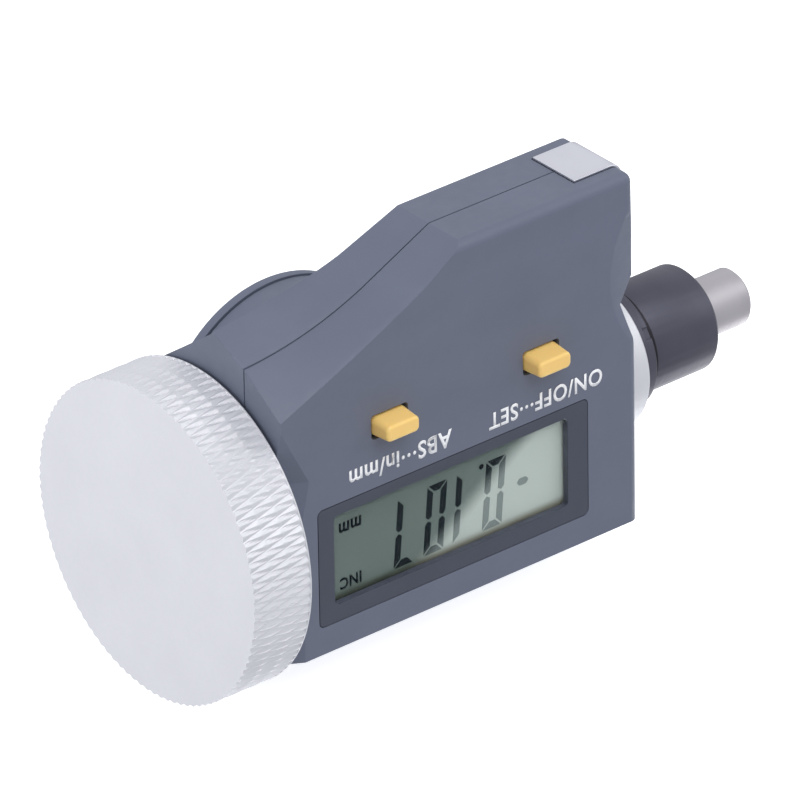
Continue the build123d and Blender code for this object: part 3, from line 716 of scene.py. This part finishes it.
def white_ink():
    """Screen-printed ink, a little uneven and slightly worn."""
    look = Look("white_print", srgb(246, 247, 250), roughness=0.55)
    look.vary_colour(look.noise(grain_mm=0.18, detail=3.0), spread=0.06)
    look.bump(look.noise(grain_mm=0.1), height_mm=0.004, strength=0.4)
    return look


print_white = white_ink()
face_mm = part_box("front_shell")[0].y / MM

for label in LABELS:
    text_piece(*label, face_mm - PRINT_MM, PRINT_MM, print_white, LABEL_WEIGHT)

for unit in UNITS:
    piece = text_piece(*unit, panel_front_mm - INK_MM, INK_MM, ink, UNIT_WEIGHT)


# ---------------------------------------------------------------- floor, light and world

# From the thimble's rim to the floor, and half the floor's side, in metres.
FLOOR_GAP = 0.00012
FLOOR_HALF = 3.0
FLOOR_GLOW = 0.7
WORLD_COLOUR = (0.93, 0.95, 1.0, 1.0)
WORLD_STRENGTH = 0.68


def floor_material():
    """A white sheet seen from its front only, so that it hides nothing from behind."""
    material = bpy.data.materials.new("floor_white")
    material.use_nodes = True
    nodes = material.node_tree.nodes
    links = material.node_tree.links
    shader = nodes["Principled BSDF"]
    shader.inputs["Base Color"].default_value = (0.9, 0.9, 0.9, 1.0)
    shader.inputs["Roughness"].default_value = 0.9
    shader.inputs["Emission Color"].default_value = (1.0, 1.0, 1.0, 1.0)
    shader.inputs["Emission Strength"].default_value = FLOOR_GLOW
    geometry = nodes.new("ShaderNodeNewGeometry")
    clear = nodes.new("ShaderNodeBsdfTransparent")
    mix = nodes.new("ShaderNodeMixShader")
    links.new(geometry.outputs["Backfacing"], mix.inputs["Fac"])
    links.new(shader.outputs["BSDF"], mix.inputs[1])
    links.new(clear.outputs["BSDF"], mix.inputs[2])
    links.new(mix.outputs["Shader"], nodes["Material Output"].inputs["Surface"])
    return material


def make_floor():
    """The object lies on its top, so the floor is above it in the reading frame."""
    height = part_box("thimble")[1].z + FLOOR_GAP
    build = bmesh.new()
    corners = [build.verts.new((x * FLOOR_HALF, y * FLOOR_HALF, height))
               for x, y in ((-1, -1), (-1, 1), (1, 1), (1, -1))]
    build.faces.new(corners)
    mesh = bpy.data.meshes.new("floor")
    build.to_mesh(mesh)
    build.free()
    mesh.materials.append(floor_material())
    floor = bpy.data.objects.new("floor", mesh)
    bpy.context.scene.collection.objects.link(floor)
    floor.visible_shadow = False
    floor.visible_diffuse = False
    floor.visible_glossy = False


OBJECT_MIDDLE = (0.03, 0.0, 0.0)
THIMBLE_FACE = (0.064, 0.0, 0.0)
# Each softbox as its name, its place and side in metres, its watts and what it faces.
SOFTBOXES = (
    ("key", (0.13, -0.5, -0.84), 0.7, 4.2, OBJECT_MIDDLE),
    ("side", (0.43, 0.2, -0.05), 0.35, 0.7, THIMBLE_FACE),
    ("stem_side", (-0.8, -0.4, -0.5), 0.5, 1.4, OBJECT_MIDDLE),
    ("back", (-0.5, 0.62, -0.46), 0.7, 0.35, OBJECT_MIDDLE),
    ("under", (-0.35, 0.3, 0.85), 1.2, 7.0, OBJECT_MIDDLE),
)


def softbox(name, place, size, watts, target):
    """A square area light that faces the target."""
    light = bpy.data.lights.new(name, "AREA")
    light.shape = "SQUARE"
    light.size = size
    light.energy = watts
    lamp = bpy.data.objects.new(name, light)
    bpy.context.scene.collection.objects.link(lamp)
    lamp.location = place
    lamp.rotation_mode = "QUATERNION"
    lamp.rotation_quaternion = (Vector(target) - Vector(place)).to_track_quat("-Z", "Y")
    lamp.visible_camera = False


def make_world():
    """An even pale surround."""
    world = bpy.data.worlds.new("studio")
    world.use_nodes = True
    background = world.node_tree.nodes["Background"]
    background.inputs["Color"].default_value = WORLD_COLOUR
    background.inputs["Strength"].default_value = WORLD_STRENGTH
    bpy.context.scene.world = world


make_floor()
make_world()
for facts in SOFTBOXES:
    softbox(*facts)

scene = bpy.context.scene
scene.view_settings.view_transform = "Standard"
scene.view_settings.look = "None"
